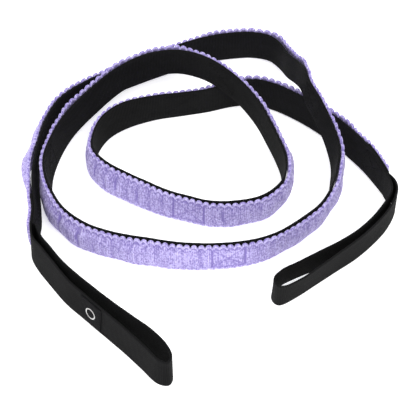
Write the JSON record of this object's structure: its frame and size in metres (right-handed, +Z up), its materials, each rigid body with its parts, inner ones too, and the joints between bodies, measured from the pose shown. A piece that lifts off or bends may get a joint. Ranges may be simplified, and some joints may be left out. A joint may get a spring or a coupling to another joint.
{
  "type": "stretching strap",
  "caption": "Stretching strap with an elastic band sewn to woven webbing in a row of loops and a hand loop at each end, standing on edge in a loose coil.",
  "frame": {"origin": "middle of the coil's box, on the surface it stands on", "axes": "+Z up, -Y towards the hand loops' ends, +X towards the right hand loop's neck"},
  "size_m": [0.2664, 0.3163, 0.0526],
  "materials": {
    "webbing": "matt woven webbing",
    "elastic": "soft ribbed knit with looped edges",
    "seam_thread": "sewing thread",
    "label": "smooth woven label",
    "label_thread": "sewing thread"
  },
  "bodies": {
    "strap": {"webbing": "webbing", "elastic_seam_1": "elastic", "elastic_seam_2": "elastic", "elastic_seam_3": "elastic", "elastic_seam_4": "elastic", "elastic_seam_5": "elastic", "elastic_seam_6": "elastic", "elastic_seam_7": "elastic", "elastic_seam_8": "elastic", "elastic_seam_9": "elastic", "box_stitch_1": "seam_thread", "box_stitch_2": "seam_thread", "box_stitch_3": "seam_thread", "box_stitch_4": "seam_thread", "box_stitch_5": "seam_thread", "box_stitch_6": "seam_thread", "box_stitch_7": "seam_thread", "box_stitch_8": "seam_thread", "box_stitch_9": "seam_thread"},
    "hand_loop_left": {"hand_loop_left": "webbing", "label_patch": "label", "label_stitch": "label_thread"},
    "hand_loop_right": {"hand_loop_right": "webbing"},
    "loop_1": {"elastic_loop_1": "elastic"},
    "loop_2": {"elastic_loop_2": "elastic"},
    "loop_3": {"elastic_loop_3": "elastic"},
    "loop_4": {"elastic_loop_4": "elastic"},
    "loop_5": {"elastic_loop_5": "elastic"},
    "loop_6": {"elastic_loop_6": "elastic"},
    "loop_7": {"elastic_loop_7": "elastic"},
    "loop_8": {"elastic_loop_8": "elastic"}
  },
  "joints": [
    {"name": "hand_loop_left_swing", "type": "hinge", "parent": "strap", "child": "hand_loop_left", "pos_m": [-0.1236, -0.0403, 0.0125], "axis": [0, 0, 1], "range_deg": [-35, 30]},
    {"name": "hand_loop_right_swing", "type": "hinge", "parent": "strap", "child": "hand_loop_right", "pos_m": [0.1271, 0.0067, 0.0125], "axis": [0, 0, 1], "range_deg": [-8, 50]},
    {"name": "loop_1_pull", "type": "slide", "parent": "strap", "child": "loop_1", "axis": [-0.9063, 0.4226, 0], "range_m": [0, 0.03], "stiffness_N_per_m": 150, "deforming": ["elastic_loop_1"]},
    {"name": "loop_2_pull", "type": "slide", "parent": "strap", "child": "loop_2", "axis": [0.7071, 0.7071, 0], "range_m": [0, 0.009], "stiffness_N_per_m": 150, "deforming": ["elastic_loop_2"]},
    {"name": "loop_3_pull", "type": "slide", "parent": "strap", "child": "loop_3", "axis": [0.891, -0.454, 0], "range_m": [0, 0.009], "stiffness_N_per_m": 150, "deforming": ["elastic_loop_3"]},
    {"name": "loop_4_pull", "type": "slide", "parent": "strap", "child": "loop_4", "axis": [-0.3584, -0.9336, 0], "range_m": [0, 0.006], "stiffness_N_per_m": 150, "deforming": ["elastic_loop_4"]},
    {"name": "loop_5_pull", "type": "slide", "parent": "strap", "child": "loop_5", "axis": [-0.5, 0.866, 0], "range_m": [0, 0.004], "stiffness_N_per_m": 150, "deforming": ["elastic_loop_5"]},
    {"name": "loop_6_pull", "type": "slide", "parent": "strap", "child": "loop_6", "axis": [0.9994, -0.0349, 0], "range_m": [0, 0.015], "stiffness_N_per_m": 150, "deforming": ["elastic_loop_6"]},
    {"name": "loop_7_pull", "type": "slide", "parent": "strap", "child": "loop_7", "axis": [-0.9998, 0.0175, 0], "range_m": [0, 0.012], "stiffness_N_per_m": 150, "deforming": ["elastic_loop_7"]},
    {"name": "loop_8_pull", "type": "slide", "parent": "strap", "child": "loop_8", "axis": [0.5592, 0.829, 0], "range_m": [0, 0.005], "stiffness_N_per_m": 150, "deforming": ["elastic_loop_8"]}
  ]
}
